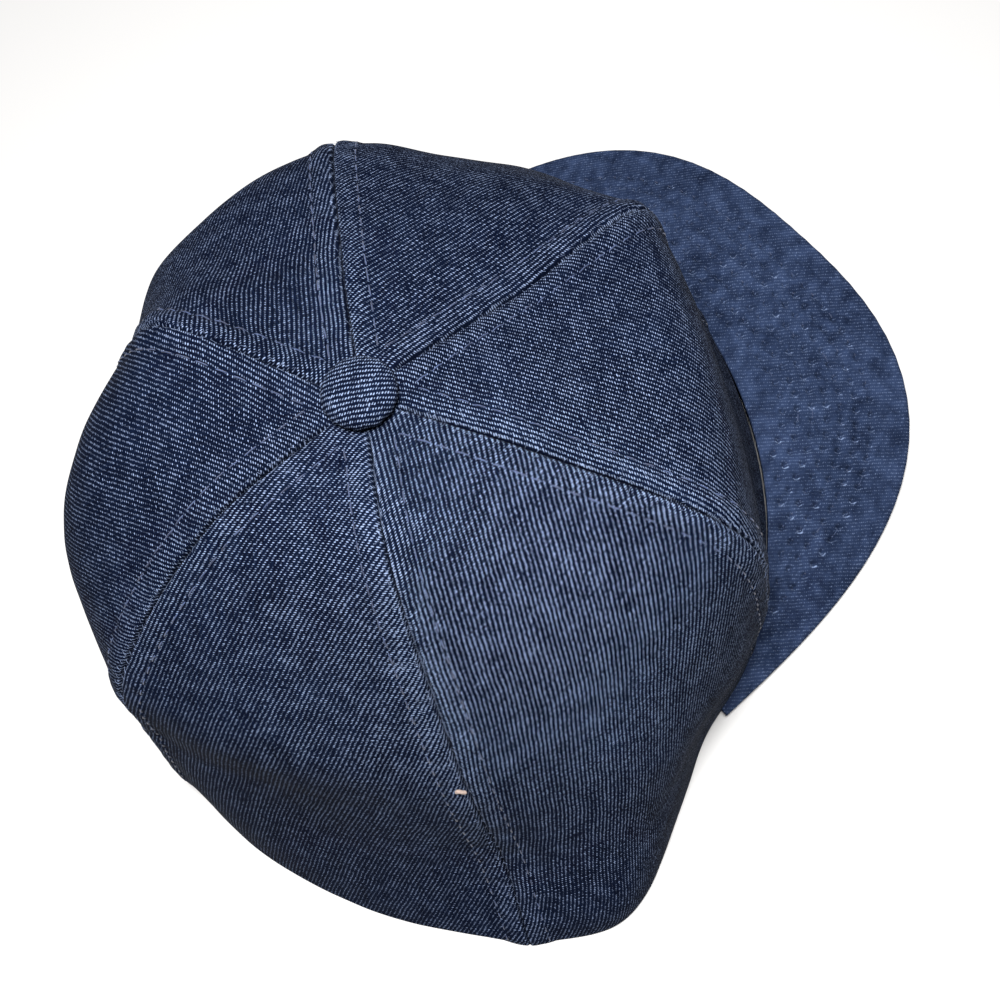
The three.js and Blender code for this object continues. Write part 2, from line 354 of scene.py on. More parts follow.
visor = {
    "reach": 40.0,
    "sideReach": 1.2,
    "thickness": 3.0,
    "bend": 15.0,
    "fall": 2.5,
    "halfAngle": 74.0,
    "fullness": 2.9,
    "clearance": 0.35,
    "skew": (0.9, -0.5),
    "columns": 628,
    "rows": 127,
    "firstRow": 11.3,
    "rowSpacing": 4.2,
    "stitchSpacing": 4.3,
    "pit": 1.6,
    "pitSize": 0.75,
    # the lip entries paint highlights: a pale crescent on one side of every stitch hole, where its wall would
    # catch the light
    "lipWay": (0.75, -0.66),
    "lipOut": 0.8,
    "lipHighlight": 1.7,
    "lipWidth": 0.36,
    "lipSharpness": 2.2,
    "lipUsual": 0.65,
    "lipUneven": 1.1,
    "lipPatch": 5.3,
    "edgeWear": 0.35,
    "edgeWearWidth": 1.4,
    "channel": 0.1,
    "channelWidth": 0.9,
}

seam = {
    "allowance": 5.6,
    "ridge": 0.6,
    "ridgeFall": 1.8,
    "swell": 0.25,
    "swellAt": 2.6,
    "swellWidth": 1.8,
    "ditch": 1.1,
    "ditchWidth": 0.34,
    "hollow": 0.35,
    "hollowWidth": 1.1,
    "groove": 0.36,
    "grooveWidth": 0.7,
    "stitchSpacing": 4.2,
    "pucker": 0.3,
    "puckerSize": 7.0,
    "finePucker": 0.25,
    "finePuckerSize": 3.2,
    "puckerAt": 4.0,
    "puckerWidth": 4.5,
    "doubled": 0.55,
    "doubledFall": 1.2,
}

# how uneven the cloth is away from its seams, and how it settles at the button and the rim
drape = {
    "broad": 0.5,
    "broadSize": 26.0,
    "fine": 0.16,
    "fineSize": 8.0,
    "seatDrop": 0.5,
    "seatEnd": 0.012,
    "seatBlend": 0.03,
    "rimBlend": 0.02,
}

# how much pale yarn shows where the cloth is rubbed. The sum is held between 0 and 1.
worn = {
    "edge": 1.25,
    "edgeAt": 0.62,
    "edgeWidth": 0.25,
    "edgeUsual": 0.45,
    "edgeSize": 3.0,
    "ridge": 0.25,
    "ridgeAt": 3.0,
    "ridgeWidth": 2.0,
    "rim": 0.15,
    "rimWidth": 2.0,
}


def rimRadius(turn):
    angle = np.radians(turn)
    return 1.0 / np.hypot(np.cos(angle) / crown["rimHalfLength"], np.sin(angle) / crown["rimHalfWidth"])


def softFolds(turn, down, table):
    # the sum of soft folds or dents at a place on the crown
    total = np.zeros(np.broadcast(turn, down).shape)
    for foldTurn, wide, foldDown, tall, push in table:
        around = (np.mod(turn - foldTurn + 180.0, 360.0) - 180.0) / wide
        total = total + push * np.exp(-around ** 2 - ((down - foldDown) / tall) ** 2)
    return total


def throughStations(turn, stations):
    # every panel bows through its two seams and its middle line
    place = np.mod(turn, 360.0) / 60.0
    panel = np.minimum(np.floor(place).astype(int), 5)
    across = place - panel
    weights = ((1 - across) * (1 - 2 * across), 4 * across * (1 - across), across * (2 * across - 1))
    return sum(stations[(2 * panel + step) % 12] * weight[..., None] for step, weight in enumerate(weights))


lineTurns = np.array([line[0] for line in crown["lines"]], dtype=float)
rimShares = np.array([line[6] for line in crown["lines"]])
rimStations = outward(lineTurns) * (rimShares * rimRadius(lineTurns))[:, None]


def rimPlan(turn):
    turn = np.asarray(turn, dtype=float)
    push = crown["rimHalfLength"] * softFolds(turn, 1.0, crown["folds"])
    return throughStations(turn, rimStations) + outward(turn) * push[..., None]


rootY = rimPlan(0.0)[1]
visorEnds = rimPlan([visor["halfAngle"], -visor["halfAngle"]])
visorBackY = visorEnds[:, 1].mean()
visorHalfWidth = max(visorEnds[0, 0], -visorEnds[1, 0]) + visor["clearance"] + visor["sideReach"]


def visorDrop(x, y):
    return visor["fall"] * (rootY - y) / visor["reach"] + visor["bend"] * (x / visorHalfWidth) ** 2


def visorEdge(share):
    # the visor's outer edge in plan, at even shares of its length
    fine = (np.linspace(0.0, 1.0, 4001) - 0.5) * math.pi
    power = 2.0 / visor["fullness"]
    x = visorHalfWidth * np.sign(fine) * np.abs(np.sin(fine)) ** power
    length = visor["reach"] + visor["clearance"] + visorBackY - rootY
    y = visorBackY - length * np.abs(np.cos(fine)) ** power
    along = np.concatenate([[0.0], np.cumsum(np.hypot(np.diff(x), np.diff(y)))])
    want = np.asarray(share) * along[-1]
    away = np.sin(np.asarray(share) * math.pi)[:, None] * np.array(visor["skew"])
    return np.stack([np.interp(want, along, x), np.interp(want, along, y)], axis=-1) + away


edgePoints = visorEdge(np.linspace(0.0, 1.0, 45))
visorRise = visorDrop(edgePoints[:, 0], edgePoints[:, 1]).max()


def rimHeight(turn):
    turn = np.asarray(turn, dtype=float)
    fromFront = np.abs(np.mod(turn + 180.0, 360.0) - 180.0)
    point = rimPlan(turn)
    share = smooth((visor["halfAngle"] + crown["rimFallAngle"] - fromFront) / crown["rimFallAngle"])
    return share * np.maximum(visorRise - visorDrop(point[..., 0], point[..., 1]), 0.0)


def leaned(turn, out, height):
    share = np.asarray(height / crown["height"])
    lean = np.stack([crown["leanLeft"] * share, crown["leanBack"] * share, share * crown["height"]], axis=-1)
    return outward(turn) * np.asarray(out)[..., None] + lean


lineSteps = 400
seatSteps = 20


def crownLine(line):
    # points at even lengths from the button's seat to the rim, after the straight way out from the tips
    turn, rise, shoulderOut, shoulderUp, bellyOut, lowOut, rimOut = line
    radius = rimRadius(turn)
    height = crown["height"]
    knots = np.array([
        leaned(turn, crown["seatRadius"], height),
        leaned(turn, crown["crestOut"] * radius, height * (1 + rise)),
        leaned(turn, shoulderOut * radius, shoulderUp * height),
        leaned(turn, bellyOut * radius, crown["bellyUp"] * height),
        leaned(turn, lowOut * radius, crown["lowUp"] * height),
        leaned(turn, rimOut * radius, rimHeight(turn)),
    ])
    knots = np.concatenate([[2 * knots[0] - knots[1]], knots, [2 * knots[-1] - knots[-2]]])
    place = np.linspace(0.0, 5.0, 1001)
    first = np.minimum(place.astype(int), 4)
    t = (place - first)[:, None]
    before, start, end, after = (knots[first + step] for step in range(4))
    startWay, endWay = (end - before) / 2, (after - start) / 2
    curve = ((2 * start - 2 * end + startWay + endWay) * t ** 3
             + (-3 * start + 3 * end - 2 * startWay - endWay) * t ** 2 + startWay * t + start)
    along = np.concatenate([[0.0], np.cumsum(np.linalg.norm(np.diff(curve, axis=0), axis=1))])
    even = np.linspace(0.0, along[-1], lineSteps + 1)
    line = np.stack([np.interp(even, along, curve[:, axis]) for axis in range(3)], axis=-1)
    tip = leaned(turn, crown["tipRadius"], height)
    seat = tip + (line[0] - tip) * np.linspace(0.0, 1.0, seatSteps + 1)[:-1, None]
    return np.concatenate([seat, line])


lineTable = np.array([crownLine(line) for line in crown["lines"]])
for _ in range(12):  # eases the crease where the flat seat turns into the crown
    lineTable[:, 12:29] = (lineTable[:, 11:28] + 2 * lineTable[:, 12:29] + lineTable[:, 13:30]) / 4


def crownPoint(turn, down, panel):
    # the crown's smooth outer surface. down is below 0 on the seat under the button.
    across = turn / 60.0 - panel
    place = np.clip(down * lineSteps + seatSteps, 0.0, lineSteps + seatSteps - 1e-6)
    step = place.astype(int)
    rest = (place - step)[..., None]
    weights = ((1 - across) * (1 - 2 * across), 4 * across * (1 - across), across * (2 * across - 1))
    point = 0.0
    for index, weight in enumerate(weights):
        line = lineTable[(2 * panel + index) % 12]
        point = point + weight[..., None] * (line[step] * (1 - rest) + line[step + 1] * rest)
    push = crown["rimHalfLength"] * softFolds(turn, down, crown["folds"])
    push = push + softFolds(turn, down, crown["dents"])
    point = point + outward(turn) * push[..., None]
    settled = smooth((down - crown["settleFrom"]) / (1 - crown["settleFrom"]))
    lift = rimHeight(turn) - throughStations(turn, lineTable[:, -1])[..., 2]
    point[..., 2] += settled * lift
    return point


def crownNormal(turn, down, panel):
    step = 0.25
    across = crownPoint(turn + step, down, panel) - crownPoint(turn - step, down, panel)
    along = crownPoint(turn, np.minimum(down + 0.004, 1.0), panel) - crownPoint(turn, down - 0.004, panel)
    return unit(np.cross(along, across))


mesher = {
    "rowSpacing": 0.6,
    "near": [0.0, 0.2, 0.42, 0.7, 1.1, 1.7, 2.4, 3.1, 3.8, 4.4, 4.9, 5.3, 5.65, 6.0, 6.4, 7.0, 7.8, 8.8],
    "middle": 76,
    "edgeRadius": 0.75,
}


def panelGrid(panel):
    length = np.linalg.norm(np.diff(lineTable[2 * panel + 1], axis=0), axis=1).sum()
    count = int(length / mesher["rowSpacing"])
    share = seatSteps / lineSteps
    hem = 1.0 - np.array([0.75, 0.5, 0.3, 0.15, 0.05, 0.0]) / (length / (1 + share))
    count = fitted(count + len(hem)) - len(hem)
    downs = np.concatenate([np.linspace(-share, hem[0] - 0.004, count), hem])
    fineTurn, fineDown = np.meshgrid(panel * 60.0 + np.linspace(0.0, 60.0, 121), downs)
    fine = crownPoint(fineTurn, fineDown, panel)
    widths = np.concatenate([
        np.zeros((len(downs), 1)), np.cumsum(np.linalg.norm(np.diff(fine, axis=1), axis=2), axis=1)], axis=1)
    near = np.array(mesher["near"])
    turns = []
    fromLeft = []
    for row, width in enumerate(widths):
        shrink = min(1.0, width[-1] / 2 / (near[-1] * 1.3))
        inner = np.linspace(near[-1] * shrink, width[-1] - near[-1] * shrink, mesher["middle"] + 2)[1:-1]
        places = np.concatenate([near * shrink, inner, (width[-1] - near * shrink)[::-1]])
        turns.append(np.interp(places, width, fineTurn[row]))
        fromLeft.append(places)
    turns = np.array(turns)
    downs = np.repeat(downs[:, None], turns.shape[1], axis=1)
    fromLeft = np.array(fromLeft)
    return turns, downs, fromLeft, widths[:, -1:]


def panelShape(panel):
    turns, downs, fromLeft, width = panelGrid(panel)
    base = crownPoint(turns, downs, panel)
    normal = crownNormal(turns, downs, panel)
    # both panels of a seam meet along one line, pushed in the same direction
    for column, other in ((0, (panel + 5) % 6), (-1, (panel + 1) % 6)):
        edgeTurn = turns[:, column] % 360.0 if column == 0 else turns[:, column]
        otherTurn = edgeTurn + 360.0 if column == 0 and panel == 0 else edgeTurn
        otherTurn = otherTurn - 360.0 if column == -1 and panel == 5 else otherTurn
        shared = unit(normal[:, column] + crownNormal(otherTurn, downs[:, column], other))
        away = fromLeft if column == 0 else width - fromLeft
        blend = smooth(away / 4.0)[..., None]
        normal = unit(normal * blend + shared[:, None] * (1 - blend))
    fromSeam = np.minimum(fromLeft, width - fromLeft)
    along = np.concatenate([
        np.zeros((1, turns.shape[1])),
        np.cumsum(np.linalg.norm(np.diff(base, axis=0), axis=2), axis=0)])
    # the line that the topstitches follow, for the small holes between them
    places = stitchLines(base, fromLeft, width)
    phase = np.zeros(turns.shape)
    half = turns.shape[1] // 2
    for side, line in enumerate(places):
        steps = np.concatenate([[0.0], np.cumsum(np.linalg.norm(np.diff(line, axis=0), axis=1))])
        start = startRow(width)
        total = steps[-1] - steps[start]
        holes = math.tau * math.floor(total / seam["stitchSpacing"]) * (steps - steps[start]) / total
        columns = slice(0, half) if side == 0 else slice(half, None)
        phase[:, columns] = holes[:, None]
    out = seam["ridge"] * (1 - smooth((fromSeam - seam["allowance"] + 0.3) / seam["ridgeFall"]))
    out = out + seam["swell"] * dip(fromSeam - seam["swellAt"], seam["swellWidth"])
    out = out - seam["ditch"] * dip(fromSeam, seam["ditchWidth"])
    out = out - seam["hollow"] * dip(fromSeam, seam["hollowWidth"])
    groove = dip(fromSeam - seam["allowance"], seam["grooveWidth"])
    out = out - seam["groove"] * groove * (0.75 - 0.35 * np.cos(phase))
    nearSeam = dip(fromSeam - seam["puckerAt"], seam["puckerWidth"])
    out = out + seam["pucker"] * nearSeam * uneven(base, seam["puckerSize"], 3)
    out = out + seam["finePucker"] * nearSeam * uneven(base, seam["finePuckerSize"], 4)
    out = out + drape["broad"] * uneven(base, drape["broadSize"], 1)
    out = out + drape["fine"] * uneven(base, drape["fineSize"], 2)
    underButton = smooth((drape["seatEnd"] - downs) / drape["seatBlend"])
    out = out * (1 - underButton) - drape["seatDrop"] * underButton
    fadeAtRim = smooth((1.0 - downs) / drape["rimBlend"])
    out = out * (0.45 + 0.55 * fadeAtRim)
    front = base + normal * out[..., None]
    doubled = 1 - smooth((fromSeam - seam["allowance"]) / seam["doubledFall"])
    depth = crown["cloth"] + seam["doubled"] * doubled * fadeAtRim
    back = base - normal * depth[..., None]
    # the rounded, folded edge of the rim
    toRim = np.maximum(along[-1:] - along, 0.0)
    radius = mesher["edgeRadius"]
    inset = radius - np.sqrt(np.maximum(radius ** 2 - np.maximum(radius - toRim, 0.0) ** 2, 0.0))
    front = front - normal * inset[..., None]
    back = back + normal * (inset * 0.95)[..., None]
    front[..., 2] = np.maximum(front[..., 2], 0.02)
    back[..., 2] = np.maximum(back[..., 2], 0.02)
    # the cloth laid flat: its middle line is straight and its rows bend as much as they do on the crown
    middle = base[:, turns.shape[1] // 2]
    level = np.hypot(middle[:, 0] - crown["leanLeft"] * middle[:, 2] / crown["height"],
                     middle[:, 1] - crown["leanBack"] * middle[:, 2] / crown["height"])
    outwardRate = np.gradient(level) / np.maximum(np.gradient(along[:, turns.shape[1] // 2]), 1e-6)
    turnRate = np.clip(outwardRate / level, 0.0, None)[:, None]
    across = fromLeft - width / 2
    angle = across * turnRate
    safe = np.maximum(turnRate, 1e-6)
    flatAcross = np.where(turnRate > 1e-5, np.sin(angle) / safe, across)
    bow = np.where(turnRate > 1e-5, (1 - np.cos(angle)) / safe, 0.0)
    flatDown = along[:, turns.shape[1] // 2][:, None] - bow
    grain = math.radians(panelGrain[panel])
    flat = np.stack([flatAcross * math.cos(grain) - flatDown * math.sin(grain) + 230.0 * panel,
                     flatAcross * math.sin(grain) + flatDown * math.cos(grain) + 170.0 * panel], axis=-1)
    for pullPanel, pullTurn, pullDown, radius, angle in askew:
        if pullPanel == panel:
            row = int(np.argmin(np.abs(downs[:, 0] - pullDown)))
            place = (pullTurn - 60.0 * panel) / 60.0 * width[row, 0]
            centre = np.array([np.interp(place, fromLeft[row], flat[row, :, axis]) for axis in (0, 1)])
            away = flat - centre
            swirl = np.radians(angle) * np.exp(-(away ** 2).sum(axis=-1) / radius ** 2)
            flat = centre + np.stack([away[..., 0] * np.cos(swirl) - away[..., 1] * np.sin(swirl),
                                      away[..., 0] * np.sin(swirl) + away[..., 1] * np.cos(swirl)], axis=-1)
    wear = worn["edge"] * dip(fromSeam - worn["edgeAt"], worn["edgeWidth"])
    wear = wear * (worn["edgeUsual"] + uneven(base, worn["edgeSize"], 6))
    wear = wear + worn["ridge"] * dip(fromSeam - worn["ridgeAt"], worn["ridgeWidth"])
    wear = wear + worn["rim"] * smooth((worn["rimWidth"] - toRim) / worn["rimWidth"])
    # painted light: paler cloth around one middle point on the crown, fading out over the given radius, as if
    # lit most there
    fromLightMiddle = np.linalg.norm(base - np.array(paintedLight["middle"]), axis=-1)
    wear = wear + paintedLight["wear"] * dip(fromLightMiddle, paintedLight["radius"])
    return {"front": front, "back": back, "flat": flat, "wear": np.clip(wear, 0.0, 1.0), "normal": normal,
            "fromLeft": fromLeft, "width": width, "downs": downs}


def startRow(width):
    # the row from which the two topstitched lines of a panel have room between them
    return int(np.argmax(width[:, 0] > 2 * seam["allowance"] + 2.5))


def stitchLines(points, fromLeft, width):
    # the points at the allowance's width from the left and from the right seam, one for each row
    lines = []
    for side in (0, 1):
        line = []
        for row in range(points.shape[0]):
            want = seam["allowance"] if side == 0 else width[row, 0] - seam["allowance"]
            line.append([np.interp(want, fromLeft[row], points[row, :, axis]) for axis in range(3)])
        lines.append(np.array(line))
    return lines


# painted light: the crown is paler around this middle, as if lit most there, and darker away from it towards
# its sides and rim; in millimetres
paintedLight = {"middle": (-50.0, 8.0, 86.0), "radius": 60.0, "wear": 0.6}
# where the cloth is pulled askew: panel, turn, down, radius in millimetres, and degrees at its middle
askew = [(4, 240, 0.62, 50.0, 9.0), (3, 240, 0.5, 30.0, 5.0)]
# how far each panel's cloth was cut off its grain, in degrees
panelGrain = [4.5, -5.0, -4.0, 12.0, 7.5, 1.0]
panelNames = ["front_left", "side_left", "back_left", "back_right", "side_right", "front_right"]
shapes = [panelShape(panel) for panel in range(6)]
panels = []
for name, shape in zip(panelNames, shapes):
    panels.append(clothPiece(
        f"denim_panel_{name}", crownDenim, shape["front"], shape["back"], shape["flat"], shape["wear"]))
print("crown panels:", sum(len(piece.data.polygons) for piece in panels), "faces")


def visorHeight(x, y, toEdge):
    # the middle surface of the visor and half its thickness, rounded at the edge
    radius = visor["thickness"] / 2
    middle = visorRise - visorDrop(x, y) + radius
    rounding = np.sqrt(np.maximum(radius ** 2 - np.maximum(radius - toEdge, 0.0) ** 2, 0.0))
    return middle, rounding


edgeFine = visorEdge(np.linspace(0.0, 1.0, 1201))


def toVisorEdge(x, y):
    flatX, flatY = np.ravel(x), np.ravel(y)
    result = np.empty(flatX.shape)
    for start in range(0, len(flatX), 4000):
        part = slice(start, start + 4000)
        across = flatX[part, None] - edgeFine[None, :, 0]
        ahead = flatY[part, None] - edgeFine[None, :, 1]
        result[part] = np.hypot(across, ahead).min(axis=1)
    return result.reshape(np.shape(x))


def visorRowPaths():
    # rows of stitches parallel to the outer edge, cut off where they meet the crown
    way = unit(np.gradient(edgeFine, axis=0))
    inwardWay = np.stack([-way[:, 1], way[:, 0]], axis=-1)
    paths = []
    for row in range(7):
        offset = visor["firstRow"] + row * visor["rowSpacing"]
        points = edgeFine + inwardWay * offset
        turn = np.degrees(np.arctan2(points[:, 0], -points[:, 1]))
        wall = np.linalg.norm(rimPlan(turn)[:, :2], axis=1)
        clear = np.linalg.norm(points, axis=1) > wall + 2.0
        clear &= toVisorEdge(points[:, 0], points[:, 1]) > offset - 0.15
        clear &= np.abs(turn) < visor["halfAngle"]
        if clear.sum() > 40:
            paths.append(points[clear])
    return paths


visorPaths = visorRowPaths()


def evenly(path, spacing):
    along = np.concatenate([[0.0], np.cumsum(np.linalg.norm(np.diff(path, axis=0), axis=1))])
    want = np.linspace(0.0, along[-1], max(int(along[-1] / spacing), 1) + 1)
    return np.stack([np.interp(want, along, path[:, axis]) for axis in (0, 1)], axis=-1)


def visorShape():
    columns, rows = visor["columns"], visor["rows"]
    share = np.linspace(0.0, 1.0, columns)
    turns = (2 * share - 1) * visor["halfAngle"]
    root = rimPlan(turns)[:, :2] - outward(turns)[:, :2] * 0.5
    edge = visorEdge(share)
    width = np.linalg.norm(edge - root, axis=1)
    flatRows = np.linspace(0.0, 1.0, rows - 8)
    grid = []
    for column in range(columns):
        rim = min(1.6, width[column] * 0.45)
        last = np.array([1.0, 0.72, 0.5, 0.32, 0.18, 0.08, 0.025, 0.0]) * rim
        steps = np.concatenate([flatRows * (width[column] - rim * 1.3), width[column] - last]) / width[column]
        grid.append(root[column] + (edge[column] - root[column]) * steps[:, None])
    plan = np.array(grid).transpose(1, 0, 2)
    x, y = plan[..., 0], plan[..., 1]
    toEdge = toVisorEdge(x, y)
    toEdge[-1] = 0.0
    middle, rounding = visorHeight(x, y, toEdge)
    points = np.stack([x, y, middle], axis=-1)
    top = np.zeros(x.shape)
    wear = visor["edgeWear"] * dip(toEdge, visor["edgeWearWidth"])
    for path in visorPaths:
        stitches = evenly(path, visor["stitchSpacing"])
        holes = (stitches[1:] + stitches[:-1]) / 2
        patches = uneven(np.pad(holes, ((0, 0), (0, 1))), visor["lipPatch"], 14)
        strengths = np.clip(visor["lipUsual"] + visor["lipUneven"] * patches, 0.0, 1.2)
        # painted highlight: a pale crescent on the side of each stitch hole opposite lipWay, as if that wall
        # of the hole were lit
        for hole, strength in zip(holes, strengths):
            across, ahead = x - hole[0], y - hole[1]
            around = np.hypot(across, ahead)
            facing = -(across * visor["lipWay"][0] + ahead * visor["lipWay"][1]) / np.maximum(around, 1e-6)
            lip = dip(around - visor["lipOut"], visor["lipWidth"]) * smooth(facing * visor["lipSharpness"])
            wear += strength * visor["lipHighlight"] * lip
        sunk = ((path[::4], visor["channel"], visor["channelWidth"]), (holes, visor["pit"], visor["pitSize"]))
        for places, depth, size in sunk:
            nearest = np.full(x.shape, 1e3)
            for start in range(0, len(places), 60):
                part = places[start:start + 60]
                away = np.hypot(x[..., None] - part[:, 0], y[..., None] - part[:, 1]).min(axis=-1)
                nearest = np.minimum(nearest, away)
            top -= depth * dip(nearest, size)
    top += 0.16 * uneven(points, 9.0, 11) + 0.1 * uneven(points, 4.0, 12)
    inside = smooth(toEdge / 3.0)
    front = np.stack([x, y, middle + rounding + top * inside], axis=-1)
    back = np.stack([x, y, middle - rounding], axis=-1)
    back[..., 2] = np.maximum(back[..., 2], 0.02)
    front[..., 2] = np.maximum(front[..., 2], 0.03)
    bendAlong = np.sqrt(1 + (2 * visor["bend"] * x / visorHalfWidth ** 2) ** 2)
    flat = np.stack([x * (1 + bendAlong) / 2, y], axis=-1)
    return front, back, flat, wear


front, back, flat, wear = visorShape()
# seen from above the rows run outward from the root, and the columns from the right side to the left
visorPiece = clothPiece("denim_visor", visorDenim, front, back, flat, wear)
# the underside of the visor is the same face of the cloth as its top
outerFace = np.zeros(len(visorPiece.data.vertices), dtype=np.float32)
visorPiece.data.attributes["inner"].data.foreach_set("value", outerFace)
print("visor:", len(visorPiece.data.polygons), "faces,", len(visorPaths), "rows of stitches")


button = {
    "radius": 8.2,
    "height": 5.6,
    "sideUp": 0.4,
    "undersideOut": 0.9,
    "roundness": 0.75,
    "clearance": 0.3,
    "sides": 144,
    "rings": 44,
    "pleats": 15,
    "pleatDepth": 0.16,
    "weave": 0.93,
    "wear": 0.5,
}


def buttonProfile():
    # radius and height from the middle of the top to the underside
    angle = np.linspace(math.pi / 2, 0.0, 30)
    side = button["height"] * button["sideUp"]
    radius = button["radius"] * np.cos(angle) ** button["roundness"]
    height = side + (button["height"] - side) * np.sin(angle)
    low = np.linspace(0.0, 1.0, 9)[1:]
    radius = np.concatenate([radius, button["radius"] * (1 - (1 - button["undersideOut"]) * low ** 2)])
    height = np.concatenate([height, side * (1 - low)])
    along = np.concatenate([[0.0], np.cumsum(np.hypot(np.diff(radius), np.diff(height)))])
    even = np.linspace(0.0, along[-1], button["rings"])
    return np.interp(even, along, radius), np.interp(even, along, height), even


def buttonPiece():
    radius, height, along = buttonProfile()
    sides = button["sides"]
    angle = np.arange(sides) * math.tau / sides
    deep = smooth((along - along[-1] * 0.62) / (along[-1] * 0.35))[1:, None]
    pleats = np.cos(button["pleats"] * angle + 1.2 * np.sin(3 * angle + 0.4))
    ripple = button["pleatDepth"] * deep * pleats[None]
    out = radius[1:, None] + ripple
    centre = leaned(0.0, 0.0, crown["height"] + button["clearance"])
    x = centre[0] + out * np.cos(angle)
    y = centre[1] + out * np.sin(angle)
    z = np.repeat(centre[2] + height[1:, None], sides, axis=1)
    ring = np.stack([x, y, z], axis=-1)
    ring += 0.05 * uneven(ring, 2.2, 21)[..., None] * unit(ring - centre)
    points = [[centre[0], centre[1], centre[2] + height[0]]] + ring.reshape(-1, 3).tolist()
    points.append([centre[0], centre[1], centre[2]])
    rings = len(radius) - 1
    faces = []
    for side in range(sides):
        after = (side + 1) % sides
        faces.append((0, 1 + side, 1 + after))
        for row in range(rings - 1):
            first = 1 + row * sides
            faces.append((first + side, first + sides + side, first + sides + after, first + after))
        last = 1 + (rings - 1) * sides
        faces.append((last + side, len(points) - 1, last + after))
    mesh = bpy.data.meshes.new("denim_button")
    mesh.from_pydata((np.array(points) * metre).tolist(), [], faces)
    stretch = along[1:, None] * button["weave"]
    spread = np.concatenate([[[0.0, 0.0]], np.stack([
        stretch * np.cos(angle), stretch * np.sin(angle)], axis=-1).reshape(-1, 2), [[0.0, 0.0]]])
    layer = mesh.uv_layers.new(name="cloth")
    corners = np.empty(len(mesh.loops), dtype=np.int32)
    mesh.loops.foreach_get("vertex_index", corners)
    layer.data.foreach_set("uv", (spread * metre)[corners].astype(np.float32).ravel())
    mesh.attributes.new("inner", "FLOAT", "POINT")
    rubbedAndLit = np.full(len(points), button["wear"], dtype=np.float32)
    mesh.attributes.new("wear", "FLOAT", "POINT").data.foreach_set("value", rubbedAndLit)
    mesh.shade_smooth()
    mesh.materials.append(buttonDenim)
    return newObject("denim_button", mesh)


buttonCover = buttonPiece()
print("button:", len(buttonCover.data.polygons), "faces")


def stitchTree():
    # one arched stitch on every step of the rows it is given, lying on the cloth
    tree = bpy.data.node_groups.new("stitch_rows", "GeometryNodeTree")
    kinds = {
        "Rows": "Geometry", "Spacing": "Float", "Length": "Float", "Thickness": "Float", "Rise": "Float",
        "Sink": "Float", "Sway": "Vector", "Seed": "Int", "Thread": "Material",
    }
    keys = {}
    for name, kind in kinds.items():
        socket = tree.interface.new_socket(name, in_out="INPUT", socket_type=f"NodeSocket{kind}")
        keys[name] = socket.identifier
    tree.interface.new_socket("Stitches", in_out="OUTPUT", socket_type="NodeSocketGeometry")

    def add(kind, settings=None, inputs=None):
        node = tree.nodes.new(kind)
        for key, value in (settings or {}).items():
            setattr(node, key, value)
        for key, value in (inputs or {}).items():
            if isinstance(value, bpy.types.NodeSocket):
                tree.links.new(value, node.inputs[key])
            else:
                node.inputs[key].default_value = value
        return node

    given = add("NodeGroupInput").outputs
    half = add("ShaderNodeMath", {"operation": "MULTIPLY"}, {0: given["Length"], 1: 0.5}).outputs[0]
    back = add("ShaderNodeMath", {"operation": "MULTIPLY"}, {0: given["Length"], 1: -0.5}).outputs[0]
    low = add("ShaderNodeMath", {"operation": "MULTIPLY"}, {0: given["Sink"], 1: -1.0}).outputs[0]
    high = add("ShaderNodeMath", {"operation": "MULTIPLY"}, {0: given["Rise"], 1: 2.0}).outputs[0]
    start = add("ShaderNodeCombineXYZ", {}, {0: back, 2: low}).outputs[0]
    middle = add("ShaderNodeCombineXYZ", {}, {2: high}).outputs[0]
    end = add("ShaderNodeCombineXYZ", {}, {0: half, 2: low}).outputs[0]
    arch = add("GeometryNodeCurveQuadraticBezier", {}, {
        "Resolution": 6, "Start": start, "Middle": middle, "End": end})
    ring = add("GeometryNodeCurvePrimitiveCircle", {"mode": "RADIUS"}, {
        "Resolution": 6, "Radius": given["Thickness"]})
    stitch = add("GeometryNodeCurveToMesh", {}, {
        "Curve": arch.outputs[0], "Profile Curve": ring.outputs[0], "Fill Caps": True}).outputs[0]
    normal = add("GeometryNodeInputNamedAttribute", {"data_type": "FLOAT_VECTOR"}, {
        "Name": "clothUp"}).outputs[0]
    path = add("GeometryNodeMeshToCurve", {}, {0: given["Rows"]}).outputs[0]
    steps = add("GeometryNodeResampleCurve", {"mode": "LENGTH"}, {
        "Curve": path, "Length": given["Spacing"]}).outputs[0]
    tangent = add("GeometryNodeInputTangent").outputs[0]
    turned = add("FunctionNodeAxesToRotation", {"primary_axis": "Z", "secondary_axis": "X"}, {
        0: normal, 1: tangent}).outputs[0]
    other = add("ShaderNodeVectorMath", {"operation": "SCALE"}, {
        0: given["Sway"], "Scale": -1.0}).outputs[0]
    sway = add("FunctionNodeRandomValue", {"data_type": "FLOAT_VECTOR"}, {
        0: other, 1: given["Sway"], "Seed": given["Seed"]}).outputs[0]
    swung = add("FunctionNodeRotateRotation", {"rotation_space": "LOCAL"}, {
        0: turned, 1: add("FunctionNodeEulerToRotation", {}, {0: sway}).outputs[0]}).outputs[0]
    size = add("FunctionNodeRandomValue", {"data_type": "FLOAT_VECTOR"}, {
        0: (0.86, 0.85, 0.75), 1: (1.06, 1.12, 1.15), "Seed": given["Seed"]}).outputs[0]
    placed = add("GeometryNodeInstanceOnPoints", {}, {
        "Points": steps, "Instance": stitch, "Rotation": swung, "Scale": size}).outputs[0]
    solid = add("GeometryNodeRealizeInstances", {}, {0: placed}).outputs[0]
    dyed = add("GeometryNodeSetMaterial", {}, {"Geometry": solid, "Material": given["Thread"]}).outputs[0]
    add("NodeGroupOutput", {}, {0: dyed})
    return tree, keys


rowsTree, rowsKeys = stitchTree()


